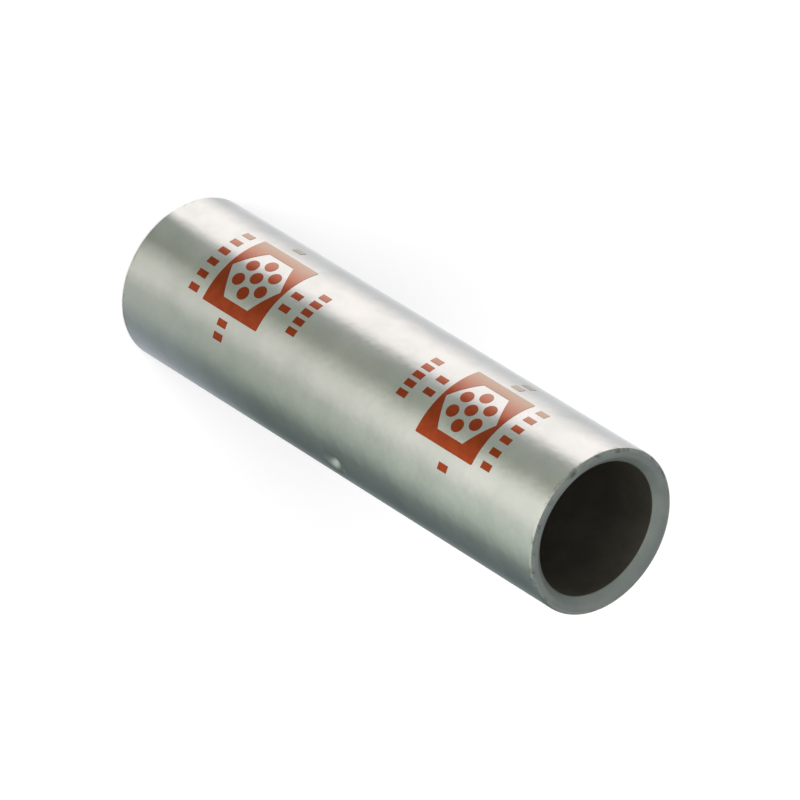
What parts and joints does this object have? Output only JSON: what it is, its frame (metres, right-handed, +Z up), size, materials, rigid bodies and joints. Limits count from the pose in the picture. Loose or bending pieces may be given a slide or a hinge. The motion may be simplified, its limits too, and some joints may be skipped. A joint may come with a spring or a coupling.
{
  "type": "butt splice connector",
  "caption": "Tin-plated copper tube that joins two cable conductors end to end by crimping, with bevelled mouths and a punched wire stop at mid-length.",
  "frame": {"origin": "centre of the lower end, on the surface that the tube stands on", "axes": "+Z up along the tube's axis; +X through the wire stop's dimple; the printed marks are centred on the -Y side"},
  "size_m": [0.0174, 0.0174, 0.0635],
  "materials": {
    "tinned_copper": "satin electroplated tin over copper",
    "marking_ink": "rust orange pad-printed ink, semi-gloss"
  },
  "bodies": {
    "root": {"splice_tube": "tinned_copper"}
  },
  "joints": []
}
